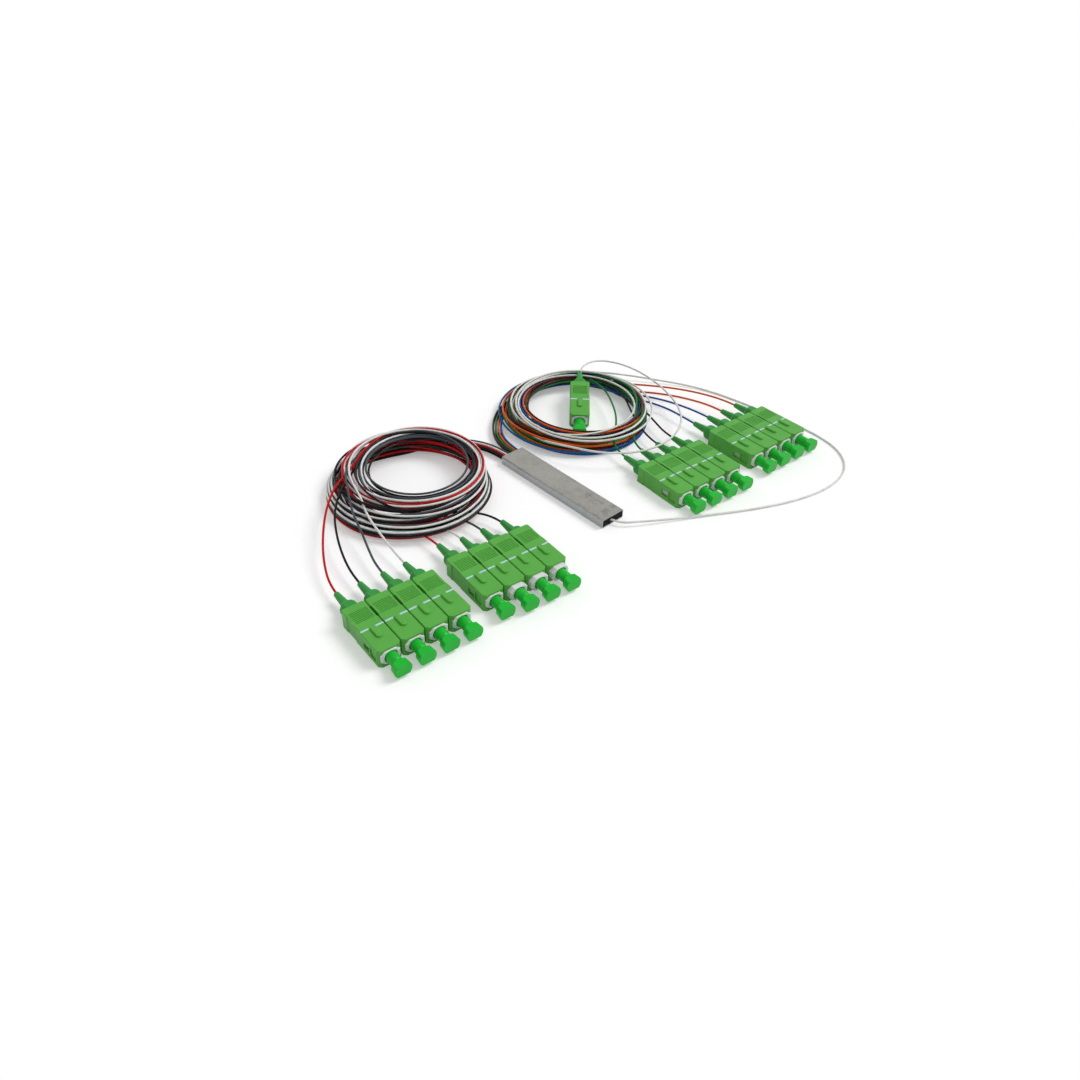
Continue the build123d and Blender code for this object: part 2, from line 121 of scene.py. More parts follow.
# each port's way out of its coil, up to just behind its boot
tails = {
    "07": [(-55.5, -63.5, 4.0), (-50.5, -74.5, 5.0), (-41.0, -85.0, 3.2), (-29.0, -94.5, 1.8),
           (-17.5, -101.8, 1.9)],
    "08": [(-51.5, -65.5, 4.5), (-45.5, -75.0, 4.6), (-37.0, -83.5, 3.4), (-26.0, -90.0, 2.2),
           (-15.5, -94.6, 2.2)],
    "05": [(-40.5, -74.0, 4.0), (-32.0, -78.5, 4.2), (-22.5, -81.5, 3.0), (-15.5, -84.3, 2.8)],
    "06": [(-38.0, -70.5, 4.5), (-29.5, -74.2, 4.3), (-19.5, -76.2, 3.2)],
    "15": [(-25.0, -67.5, 4.5), (-15.5, -65.0, 4.4)],
    "14": [(-21.0, -60.0, 5.0), (-13.5, -56.2, 4.7)],
    "13": [(-17.0, -53.0, 5.2), (-11.5, -48.0, 4.9)],
    "16": [(-13.0, -52.0, 3.2), (-10.0, -42.5, 4.2)],
    "10": [(-44.5, 76.0, 4.5), (-35.5, 85.8, 4.5), (-23.5, 95.8, 3.2), (-10.5, 103.2, 2.6)],
    "02": [(-40.0, 74.5, 5.0), (-31.5, 83.5, 4.4), (-20.0, 91.5, 3.2), (-8.0, 96.2, 2.7)],
    "09": [(-36.5, 74.5, 3.6), (-27.5, 82.0, 3.9), (-15.0, 86.8, 3.0)],
    "01": [(-33.5, 73.5, 5.4), (-23.5, 79.5, 4.6), (-11.0, 81.2, 3.2)],
    "12": [(-24.5, 73.0, 4.0), (-14.5, 70.3, 3.6), (-5.5, 66.3, 3.0)],
    "04": [(-19.5, 66.5, 4.6), (-10.5, 60.5, 4.2)],
    "11": [(-14.0, 60.0, 5.4), (-7.5, 51.5, 4.6)],
    "03": [(-33.5, 64.8, 8.0), (-20.5, 56.0, 8.2), (-11.4, 46.2, 7.6), (-6.0, 38.6, 5.4)],
}
# the input fibre's wide sweep round the right coil, and its last loop up to its boot
inputSweep = [
    (33.0, -0.5, 1.9), (38.4, 7.0, 2.0), (44.5, 18.0, 1.2), (52.5, 33.0, 0.5),
    (62.0, 50.0, 0.45), (70.0, 68.5, 0.45), (74.0, 87.5, 0.45), (71.5, 104.0, 0.45),
    (61.0, 115.5, 0.45), (45.0, 119.5, 0.45), (26.0, 118.5, 0.45), (6.0, 116.5, 0.45),
    (-12.0, 113.5, 0.5), (-25.5, 107.0, 1.0), (-38.0, 98.0, 1.8), (-50.0, 89.0, 2.6),
    (-60.0, 77.5, 3.2), (-65.5, 63.5, 3.8),
]
inputLoop = [
    (-52.0, 19.0, 6.4), (-41.5, 16.0, 8.1), (-28.0, 14.5, 8.2), (-14.0, 16.0, 8.2), (-1.5, 23.0, 7.9),
    (7.5, 33.5, 7.4), (11.8, 46.5, 7.2), (10.5, 60.0, 7.1), (4.0, 73.0, 6.8), (-7.5, 82.8, 6.6),
    (-22.0, 89.0, 6.8), (-37.5, 91.8, 7.3), (-51.0, 89.5, 8.1), (-60.0, 81.5, 9.0),
]
# each coil: its middle, the way round, and for each turn the middle's shift, the radius, how far the
# strands spread to either side, and how much a strand wanders on its own; the spread is widest towards
# the fan angle, and the heights rise by a step from strand to strand up to the ceiling; the tails of
# the ports in over leave over the turns outside them, and small narrows a port's last two turns
coils = {
    "left": {
        "middle": (-38.5, -46.5), "way": 1, "seed": 5,
        "order": ("15", "16", "13", "14", "07", "08", "05", "06"),
        "turns": [((0.0, -1.8), 32.4, 2.4, 0.3), ((0.0, -1.4), 30.8, 4.2, 0.9),
                  ((-0.2, -0.2), 29.0, 4.8, 1.3), ((-1.4, 1.6), 27.4, 4.6, 1.6),
                  ((-2.8, 3.8), 25.8, 3.8, 1.7), ((-2.2, 4.0), 25.4, 3.2, 1.2)],
        "whole": 5, "fan": -95.0, "inner": 16.5, "outer": 35.4, "step": 0.26, "ceiling": 10.5,
        "over": ("07", "08", "05", "06"), "small": {"05": -1.7, "08": -1.4},
    },
    "right": {
        "middle": (-38.0, 44.5), "way": -1, "seed": 8,
        "order": ("09", "10", "11", "12", "01", "02", "03", "04"),
        "turns": [((0.0, 0.0), 33.2, 1.6, 0.3), ((0.2, 0.4), 31.6, 3.0, 0.6),
                  ((0.6, 1.2), 30.0, 3.8, 0.9), ((1.2, 2.8), 28.4, 4.0, 1.0),
                  ((1.6, 3.8), 27.6, 3.6, 1.0), ((1.0, 2.0), 28.6, 2.8, 0.7)],
        "whole": 4, "fan": -130.0, "inner": 20.0, "outer": 35.1, "step": 0.18, "ceiling": 8.4,
        "over": ("03", "11"), "small": {},
    },
}
# the input fibre's own turns on top of the right coil: bunched at one side, fanned out at the other;
# it starts lift strands above the coil and climbs by climb strands a turn, and comes to rest sag lower
inputTurns = {
    "turns": [((0.0, 0.0), 28.0, 0.0, 0.1), ((1.0, 1.2), 27.1, 0.0, 0.2), ((3.2, 2.4), 30.8, 0.0, 0.2),
              ((5.0, 3.6), 30.9, 0.0, 0.2), ((3.0, 2.0), 30.4, 0.0, 0.1)],
    "whole": 3, "way": 1, "outer": 40.0, "lift": 7, "climb": 3, "sag": 0.9,
}
# how near to the input plug a strand may lie: under its boot, whose underside swells from the tip to
# the base, and over the way of its cap
plugRoom = {"across": 3.7, "along": (-1.5, 0.0, 6.4, 9.0, 13.0), "under": (0.6, 1.1, 1.7, 2.8, 3.7),
            "capWay": (39.0, 53.5), "capTop": 2.3, "gap": 0.55}
# a strand's shape: its fan's mean and swing round the coil, the height of its slow waves and how many
# halves of each fit in a turn, the degrees over which it leaves its lead and meets its tail, and the
# rank, counted in strands from the floor up, by which it has left its lead's height
looseness = {"fanMean": 0.62, "fanSwing": 0.38, "wave": 0.32, "halfWaves": (2, 3, 4),
             "leadEase": 80, "tailEase": 70, "riseOver": 12}
# settling: how the strands are sampled and how far apart they are kept, which pairs of samples count
# (within reach, more than skip samples apart on one strand, and beside each other to within slip),
# how high the stack starts, and how the strands are pushed, sink and keep their shapes in each round;
# the pairs are found anew every few rounds
winding = {"pointsPerTurn": 15, "samples": 14, "clear": 0.93, "reach": 1.6, "skip": 5, "slip": 0.7,
           "drop": 0.55, "rounds": 320, "every": 6, "sinkShare": 0.66, "sinkUntil": 0.75, "push": 1.3,
           "leastWeight": 0.35, "smooth": 0.12, "flatten": 0.08, "headroom": 0.9, "overMargin": 1,
           "tagStep": 100000}


def leadPoints(port):
    # an output fibre from inside the end plug into its coil: the first lane's route plus its own steps
    number = int(port) - 1
    lane, layer = number % fibre["laneCount"], 1 - number // fibre["laneCount"]
    y = fibre["lanePitch"] * ((fibre["laneCount"] - 1) / 2 - lane)
    z = fibre["layerMiddle"] + fibre["layerPitch"] * (layer - 0.5)
    half = fibre["laneCount"] // 2
    points, steps = leads["right" if lane < half else "left"]
    out = lane if lane < half else fibre["laneCount"] - 1 - lane
    first = (points[0][0] + out * steps[0][0], y, z)
    rest = [(x + out * dx, y0 + out * dy, z) for (x, y0), (dx, dy) in zip(points[1:], steps[1:])]
    return [(fibre["tubeEnd"], y, z), first] + rest


def bootPoints(port):
    # the last two points: just behind the boot's tip, and inside it
    origin, ahead = places[port][:2]
    shift = places[port][-1]
    tip = origin + ahead * (shift - plugSizes["bootLength"])
    return [tuple(tip - ahead * plugSizes["bootRun"]), tuple(tip + ahead * plugSizes["bootRun"])]


def eased(t):
    # 0 to 1 with a level start and end: three times t squared less two times t cubed
    t = np.clip(t, 0.0, 1.0)
    return t * t * (3.0 - 2.0 * t)


def turnPoints(coil, startXY, endXY, slots, rng):
    # points of the turns between a lead and a tail: at each angle the radius is the turn's own radius
    # plus the strand's slot and a few slow waves, about a middle that drifts from turn to turn; the
    # control points lie a little outside the smooth line that they make, so the radius grows by as much
    middle = np.array(coil["middle"])
    a = np.array(startXY) - middle
    b = np.array(endXY) - middle
    startAngle, endAngle = atan2(a[1], a[0]), atan2(b[1], b[0])
    total = (coil["way"] * (endAngle - startAngle)) % (2 * pi) + 2 * pi * coil["whole"]
    count = int(round(total / (2 * pi) * winding["pointsPerTurn"]))
    along = total * np.arange(1, count) / count
    angle = startAngle + coil["way"] * along
    turn = along / (2 * pi)
    turns = coil["turns"]
    low = np.minimum(turn.astype(int), len(turns) - 2)
    mix = eased(turn - low)

    def blend(values):
        return values[low] * (1 - mix) + values[low + 1] * mix

    wander = np.array([each[3] for each in turns])
    shiftX = blend(np.array([each[0][0] for each in turns]) + rng.normal(0, 1, len(turns)) * wander)
    shiftY = blend(np.array([each[0][1] for each in turns]) + rng.normal(0, 1, len(turns)) * wander)
    fan = looseness["fanMean"] + looseness["fanSwing"] * np.cos(angle - radians(coil["fan"]))
    spread = blend(np.array([each[2] * slot for each, slot in zip(turns, slots)])) * fan
    waves = sum(
        rng.normal(0, looseness["wave"]) * np.cos(n * along / 2.0 + rng.uniform(0, 2 * pi))
        for n in looseness["halfWaves"]
    )
    grow = 1.0 / (0.75 + 0.25 * cos(2 * pi / winding["pointsPerTurn"]))
    r = (blend(np.array([each[1] for each in turns])) + spread + waves) * grow
    x = shiftX + r * np.cos(angle)
    y = shiftY + r * np.sin(angle)
    # ease out of the lead's radius and into the tail's
    own = np.hypot(x, y)
    into = eased(along / radians(looseness["leadEase"]))
    outOf = eased((total - along) / radians(looseness["tailEase"]))
    wanted = np.clip(own, coil["inner"], coil["outer"]) * into * outOf
    wanted += np.hypot(*a) * (1 - into) + np.hypot(*b) * (1 - outOf)
    return np.stack([middle[0] + x * wanted / own, middle[1] + y * wanted / own], axis=1), turn


# a smooth line's weights for its three route points along one segment, and their slopes
t = (np.arange(winding["samples"]) + 0.5) / winding["samples"]
basis = np.stack([0.5 * (1 - t) ** 2, 0.5 + t - t * t, 0.5 * t * t], axis=1)
slope = np.stack([t - 1, 1 - 2 * t, t], axis=1)


def samplesOf(points, segment):
    # the smooth line's own points in one segment: three route points blended by its basis
    return basis @ points[segment - 1:segment + 2]


def closePairs(spots, tag, reach):
    # pairs of samples nearer than the reach, found through a grid of boxes; the tag keeps a sample
    # from pairing with its own neighbours along the strand
    cell = np.floor(spots / reach).astype(np.int64)
    cell -= cell.min(axis=0) - 1
    size = cell.max(axis=0) + 2
    key = (cell[:, 0] * size[1] + cell[:, 1]) * size[2] + cell[:, 2]
    order = np.argsort(key, kind="stable")
    ordered = key[order]
    found = []
    steps = [(a * size[1] + b) * size[2] + c for a in (0, 1) for b in (-1, 0, 1) for c in (-1, 0, 1)]
    for offset in [step for step in steps if step >= 0]:
        begin = np.searchsorted(ordered, ordered + offset, "left")
        end = np.searchsorted(ordered, ordered + offset, "right")
        if offset == 0:
            begin = np.arange(len(spots)) + 1
        for extra in range(max((end - begin).max(), 0)):
            some = np.flatnonzero(end - begin > extra)
            found.append((order[some], order[begin[some] + extra]))
    i = np.concatenate([pair[0] for pair in found])
    j = np.concatenate([pair[1] for pair in found])
    keep = ((spots[i] - spots[j]) ** 2).sum(axis=1) < reach ** 2
    keep &= np.abs(tag[i] - tag[j]) > winding["skip"]
    return i[keep], j[keep]


def heightRoom(spots, ceiling, lift):
    # the lowest and highest centre at each spot: the floor and the coil's ceiling, but lower under the
    # input plug's boot and higher over its cap's way; both follow the plug's sloping axis, and what
    # bounds them from above is still lifted while the strands sink
    ahead, side = places["input"][1:3]
    level = np.hypot(ahead[0], ahead[1])
    offset = spots[:, :2] - np.array(inputPlug["tip"][:2])
    along = offset @ ahead[:2] / level
    near = np.abs(offset @ side[:2]) < plugRoom["across"]
    axis = inputPlug["tip"][2] + along * ahead[2] / level
    below = axis - np.interp(along, plugRoom["along"], plugRoom["under"]) - plugRoom["gap"]
    underBoot = near & (along > plugRoom["along"][0]) & (along < plugRoom["along"][-1])
    overCap = near & (along > plugRoom["capWay"][0]) & (along < plugRoom["capWay"][1])
    high = np.where(underBoot, np.minimum(below, ceiling), ceiling) + lift
    low = np.where(overCap, axis + plugRoom["capTop"] + plugRoom["gap"], fibre["diameter"] / 2)
    return low, high


def contactMoves(spots, heading, i, j, ceiling, lift):
    # how far each sample has to move so that tubes only touch: two samples side by side are pushed
    # apart across their heading; below its room it goes up and above its room it goes down
    count = len(spots)
    v = spots[i] - spots[j]
    along = heading[i] + heading[j] * np.sign((heading[i] * heading[j]).sum(axis=1))[:, None]
    along /= np.linalg.norm(along, axis=1)[:, None]
    slip = (v * along).sum(axis=1)
    v -= slip[:, None] * along
    away = np.linalg.norm(v, axis=1) + 1e-9
    hit = (away < winding["clear"]) & (np.abs(slip) < winding["slip"])
    push = v[hit] * ((winding["clear"] - away[hit]) / 2 / away[hit])[:, None]
    i, j = i[hit], j[hit]
    each = [np.bincount(i, push[:, k], count) - np.bincount(j, push[:, k], count) for k in range(3)]
    move = np.stack(each, axis=1)
    low, high = heightRoom(spots, ceiling, lift)
    limit = np.clip(spots[:, 2], low, high) - spots[:, 2]
    move[:, 2] += limit
    touches = np.bincount(i, minlength=count) + np.bincount(j, minlength=count) + (limit != 0)
    return move / np.maximum(touches, 1)[:, None], (touches > 0).astype(float)


def settle(points, free, lowest, segments, tag, ceiling):
    # round by round the strands sink a little under a lid that comes down with them, are pushed apart
    # where they overlap, and keep their smooth shapes; a round moves them by less than half a tube
    first = points.copy()
    sink = np.maximum(points[:, 2] - lowest, 0.0) / (winding["rounds"] * winding["sinkShare"])
    freeColumn = free[:, None]
    stack = np.maximum(points[:, 2].max() - ceiling, 0.0)
    for r in range(winding["rounds"]):
        part = r / winding["rounds"]
        lift = stack * max(0.0, 1.0 - part / winding["sinkShare"])
        spots = (basis @ points[segments]).reshape(-1, 3)
        heading = (slope @ points[segments]).reshape(-1, 3)
        heading /= np.linalg.norm(heading, axis=1)[:, None]
        if r % winding["every"] == 0:
            i, j = closePairs(spots, tag, winding["reach"])
        move, active = contactMoves(spots, heading, i, j, ceiling, lift)
        move = move.reshape(len(segments), -1, 3)
        active = active.reshape(len(segments), -1)
        total = np.zeros_like(points)
        weight = np.zeros(len(points))
        for k in range(3):
            np.add.at(total, segments[:, k], np.einsum("m,smc->sc", basis[:, k], move))
            np.add.at(weight, segments[:, k], active @ basis[:, k])
        heavy = np.maximum(weight, winding["leastWeight"])[:, None]
        points += freeColumn * total / heavy * winding["push"]
        if part < winding["sinkUntil"]:
            points[:, 2] -= np.minimum(sink, np.maximum(points[:, 2] - lowest, 0)) * free
        gone = points - first
        mean = np.zeros_like(points)
        mean[1:-1] = (gone[:-2] + gone[2:]) / 2
        points[:, :2] += winding["smooth"] * (freeColumn * (mean - gone))[:, :2]
        z = points[:, 2]
        z[1:-1] += winding["flatten"] * free[1:-1] * ((z[:-2] + z[2:]) / 2 - z[1:-1])
    return points


def windCoil(name):
    # lay every strand turn by turn, all first turns lowest, then let the whole coil settle
    coil = coils[name]
    rng = np.random.default_rng(coil["seed"])
    count = len(coil["order"])
    slotRows = [rng.permutation(np.linspace(-1, 1, count)) for _ in coil["turns"]]
    routes = []
    for place, port in enumerate(coil["order"]):
        lead = leadPoints(port)
        tail = tails[port] + bootPoints(port)
        slots = [row[place] for row in slotRows]
        slots[-2:] = [coil["small"].get(port, slot) for slot in slots[-2:]]
        ring, turn = turnPoints(coil, lead[-1][:2], tail[0][:2], slots, rng)
        routes.append((port, lead, ring, lead[-1][2], turn * count + place, tail, 1, 2))
    if name == "right":
        own = dict(coil, **inputTurns)
        start = [fibre["inputStart"]] + inputSweep
        end = inputLoop + bootPoints("input")
        ring, turn = turnPoints(own, start[-1][:2], end[0][:2], [0.0] * len(own["turns"]), rng)
        rank = count * (coil["whole"] + 1) + inputTurns["lift"] + turn * inputTurns["climb"]
        routes.append(("input", start, ring, start[-1][2], rank, end, 2, len(end) - 3))
    points, free, lowest, segments, tags, spans = [], [], [], [], [], {}
    at = 0
    for port, start, ring, base, rank, end, looseStart, heldEnd in routes:
        rise = np.minimum(rank / looseness["riseOver"], 1)
        z = base * (1 - rise) + (fibre["diameter"] / 2 + rank * winding["drop"]) * rise
        flat = np.minimum(fibre["diameter"] / 2 + rank * coil["step"], coil["ceiling"])
        if port == "input":
            flat = flat - inputTurns["sag"]
        strand = np.array(start + [(x, y, h) for (x, y), h in zip(ring, z)] + end)
        size = len(strand)
        loose = np.zeros(size)
        loose[len(start) - looseStart:size - heldEnd] = 1.0
        floorHeight = strand[:, 2].copy()
        floorHeight[len(start):len(start) + len(ring)] = flat
        if port in coil["over"]:
            # this tail leaves over the turns that lie outside it
            distance = np.hypot(*(strand[:, :2] - np.array(coil["middle"])).T)
            over = distance < coil["outer"] + winding["overMargin"]
            over &= (np.arange(size) >= len(start) + len(ring) - 2) & (loose > 0)
            strand[over, 2] = (coil["whole"] + 1) * count * winding["drop"]
        middles = np.arange(1, size - 1) + at
        points.append(strand)
        free.append(loose)
        lowest.append(floorHeight)
        segments.append(np.stack([middles - 1, middles, middles + 1], axis=1))
        tags.append(np.arange(len(middles) * winding["samples"]) + winding["tagStep"] * len(tags))
        spans[port] = slice(at, at + size)
        at += size
    joined = [np.concatenate(each) for each in (points, free, lowest, segments, tags)]
    laid = settle(*joined, coil["ceiling"] + winding["headroom"])
    return {port: laid[span] for port, span in spans.items()}


def curveLength(points):
    # the sum of the distances between the smooth line's samples, in millimetres
    line = np.concatenate([samplesOf(points, s) for s in range(1, len(points) - 1)])
    line = np.vstack([points[0], line, points[-1]])
    return np.linalg.norm(np.diff(line, axis=0), axis=1).sum()


def addFibre(name, points):
    # one smooth spline with the route's points as its control points, given a round section; each
    # point's radius is the tube's own, because a curve's box reaches that far past its points
    data = bpy.data.curves.new(name, "CURVE")
    data.dimensions = "3D"
    data.bevel_depth = 1.0
    data.bevel_resolution = fibre["roundSteps"]
    data.resolution_u = fibre["lengthSteps"]
    data.use_fill_caps = True
    spline = data.splines.new("NURBS")
    spline.points.add(len(points) - 1)
    flat = np.hstack([points * mm, np.ones((len(points), 1))])
    spline.points.foreach_set("co", flat.ravel().astype(np.float32))
    spline.points.foreach_set("radius", np.full(len(points), fibre["diameter"] / 2 * mm, np.float32))
    spline.order_u = 3
    spline.use_endpoint_u = True
    obj = bpy.data.objects.new(name, data)
    scene.collection.objects.link(obj)
    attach(obj, "splitter")
    return obj


strands = {}
for name in coils:
    strands.update(windCoil(name))
    print(name, "coil laid")
print("lengths", {port: round(curveLength(points)) for port, points in strands.items()})
cords = {port: addFibre(f"fibreTube{port}", points) for port, points in strands.items()}

for port, cordObject in cords.items():
    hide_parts(f"fibre_{port}")
    if port in coils["left"]["order"]:
        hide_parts("coil_left")
    else:
        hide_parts("coil_right")
    measured = curveLength(strands[port]) * mm
    tuple(strands[port][0] * mm)


class Socket:
    # a node's output: sums, differences and products of sockets and numbers add Math nodes
    def __init__(self, nodes, output):
        self.nodes, self.output = nodes, output

    def math(self, operation, first, second):
        return self.nodes.node("Math", {"operation": operation}, {0: first, 1: second})

    def orLarger(self, other):
        return self.math("MAXIMUM", self, other)

    def __add__(self, other):
        return self.math("ADD", self, other)

    def __sub__(self, other):
        return self.math("SUBTRACT", self, other)

    def __rsub__(self, other):
        return self.math("SUBTRACT", other, self)

    def __mul__(self, other):
        return self.math("MULTIPLY", self, other)

    __radd__ = __add__
    __rmul__ = __mul__


class Nodes:
    # the nodes of a material or of the world, from an empty tree
    def __init__(self, owner):
        owner.use_nodes = True
        self.tree = owner.node_tree
        self.tree.nodes.clear()

    def node(self, kind, settings=None, inputs=None, output=0):
        # any node: its type, its settings, and the values or links of its inputs
        node = self.tree.nodes.new("ShaderNode" + kind)
        for key, value in (settings or {}).items():
            setattr(node, key, value)
        for key, value in (inputs or {}).items():
            if isinstance(value, Socket):
                self.tree.links.new(value.output, node.inputs[key])
            else:
                node.inputs[key].default_value = value
        return Socket(self, node.outputs[output]) if output is not None else None

    def between(self, value, low, high, out=(0.0, 1.0)):
        # a value's span low..high carried to out, held at its ends
        spans = {0: value, 1: low, 2: high, 3: out[0], 4: out[1]}
        return self.node("MapRange", {"clamp": True}, spans)


class Finish(Nodes):
    # one material, with a Principled shader that ends it
    def __init__(self, name):
        self.material = bpy.data.materials.new(name)
        super().__init__(self.material)
        self.place = self.node("TexCoord", output="Object")

    def stretched(self, scales):
        # the object's own coordinates, stretched by a factor along each axis
        return self.node("Mapping", None, {"Vector": self.place, "Scale": scales})

    def noise(self, scale, detail=2.0, roughness=0.5, where=None):
        # 0 to 1 cloudy noise, scale times finer than the object's metres
        inputs = {"Vector": where or self.place, "Scale": scale, "Detail": detail, "Roughness": roughness}
        return self.node("TexNoise", None, inputs)

    def blend(self, factor, first, second):
        # two colours mixed by a factor
        first, second = (each if isinstance(each, Socket) else (*each, 1) for each in (first, second))
        return self.node("Mix", {"data_type": "RGBA"}, {0: factor, 6: first, 7: second}, output=2)

    def bump(self, height, distance, strength=1.0):
        return self.node("Bump", None, {"Height": height, "Distance": distance, "Strength": strength})

    def close(self, **inputs):
        # the Principled shader: underscores in the names stand for spaces
        named = {key.replace("_", " "): value for key, value in inputs.items()}
        for key, value in named.items():
            if key == "Base Color" and not isinstance(value, Socket):
                named[key] = (*value, 1)
        shader = self.node("BsdfPrincipled", None, named)
        self.node("OutputMaterial", None, {"Surface": shader}, output=None)
        return self.material


# moulded plastics: the colour, a shade that it drifts towards, roughness, and the moulded grain's depth
plastics = {
    "gripGreen": ((0.112, 0.455, 0.066), (0.092, 0.402, 0.054), 0.40, 0.012),
    "bootGreen": ((0.036, 0.335, 0.055), (0.028, 0.285, 0.044), 0.46, 0.010),
    "capGreen": ((0.004, 0.540, 0.032), (0.003, 0.450, 0.022), 0.34, 0.006),
    "frameWhite": ((0.800, 0.820, 0.805), (0.720, 0.745, 0.735), 0.36, 0.006),
    "ceramicWhite": ((0.820, 0.810, 0.770), (0.780, 0.770, 0.730), 0.18, 0.001),
    "printedDash": ((0.560, 0.760, 0.800), (0.470, 0.680, 0.720), 0.50, 0.004),
}


# the patterns that all plastics share, in repeats a metre, and how far each one moves the shade and the
# roughness
mould = {"drift": 160, "cloud": 900, "grain": 5200, "driftShade": 0.6, "cloudShade": 0.3,
         "driftGloss": 0.05, "cloudGloss": 0.10, "refraction": 1.46, "mirror": 0.36}


def mouldedPlastic(name):
    # slow drifts in colour and gloss from the mould, under a fine even grain
    colour, shade, gloss, depth = plastics[name]
    finish = Finish(name)
    drift = finish.between(finish.noise(mould["drift"], 3.0), 0.35, 0.70)
    cloud = finish.noise(mould["cloud"], 2.0)
    grain = finish.noise(mould["grain"], 2.0, 0.6)
    mix = drift * mould["driftShade"] + cloud * mould["cloudShade"]
    gloss = gloss + (cloud - 0.5) * mould["cloudGloss"] + (drift - 0.5) * mould["driftGloss"]
    normal = finish.bump(grain + cloud * 0.5, depth * mm, 0.6)
    return finish.close(Base_Color=finish.blend(mix, colour, shade), Roughness=gloss, Normal=normal,
                        IOR=mould["refraction"], Specular_IOR_Level=mould["mirror"])


# fibre tubing: the colours of the standard order, each with its own roughness
tubing = {
    "blue": ((0.002, 0.100, 0.36), 0.26), "orange": ((0.74, 0.105, 0.005), 0.28),
    "green": ((0.001, 0.200, 0.042), 0.26), "brown": ((0.040, 0.010, 0.005), 0.28),
    "slate": ((0.064, 0.082, 0.096), 0.32), "white": ((0.84, 0.85, 0.83), 0.30),
    "red": ((0.56, 0.001, 0.002), 0.25), "black": ((0.0030, 0.0030, 0.0034), 0.22),
    "natural": ((0.82, 0.83, 0.79), 0.30),
}
tubeOrder = ("blue", "orange", "green", "brown", "slate", "white", "red", "black")


# the tubing's patterns in repeats a metre, the waviness's depth, and how far each moves the roughness;
# dust is paler than a dark tube, by dustMix towards dustGrey, and a little darker than a pale one
tubeWear = {"bands": 330, "dust": 2600, "waves": 1400, "waveDepth": 0.010, "bandGloss": 0.08,
            "dustGloss": 0.16, "dustGrey": 0.32, "dustMix": 0.10, "dustOnPale": 0.94, "deep": 0.86,
            "refraction": 1.49, "mirror": 0.20}


def tubeSkin(name):
    # smooth drawn tubing: long faint bands of colour and gloss, a little dust, and a faint waviness
    colour, gloss = tubing[name]
    finish = Finish("tube" + name.capitalize())
    bands = finish.noise(tubeWear["bands"], 2.0)
    dust = finish.between(finish.noise(tubeWear["dust"], 3.0, 0.65), 0.60, 0.78)
    grey, mix = tubeWear["dustGrey"], tubeWear["dustMix"]
    pale = tuple(c + (grey - c) * mix if c < grey else c * tubeWear["dustOnPale"] for c in colour)
    deep = tuple(c * tubeWear["deep"] for c in colour)
    skin = finish.blend(finish.between(bands, 0.35, 0.65), colour, deep)
    skin = finish.blend(dust * 0.5, skin, pale)
    normal = finish.bump(finish.noise(tubeWear["waves"], 1.0), tubeWear["waveDepth"] * mm, 0.5)
    gloss = gloss + dust * tubeWear["dustGloss"] + (bands - 0.5) * tubeWear["bandGloss"]
    return finish.close(Base_Color=skin, Roughness=gloss, Normal=normal,
                        IOR=tubeWear["refraction"], Specular_IOR_Level=tubeWear["mirror"])


# the steel's colours, among them a painted bluish reflection for its flanks, its roughness, the depth of
# its rolled lines, the scales of its patterns in repeats a metre, and the span along the tube, in metres,
# over which smudges and specks come in
steelFinish = {
    "colour": (0.560, 0.545, 0.500), "worn": (0.370, 0.360, 0.330), "paintedFlankReflection": (0.360, 0.382, 0.398),
    "smudge": (0.215, 0.205, 0.180), "speck": (0.060, 0.058, 0.055), "gloss": 0.36, "line": 0.004,
    "lineScales": (60, 4200, 4200), "cloudScale": 120, "fineScale": 900, "mottleScale": 1100,
    "smudgeScale": 240, "speckScale": 620, "patchScale": 260, "dirtFrom": -0.006, "dirtTo": 0.030,
}


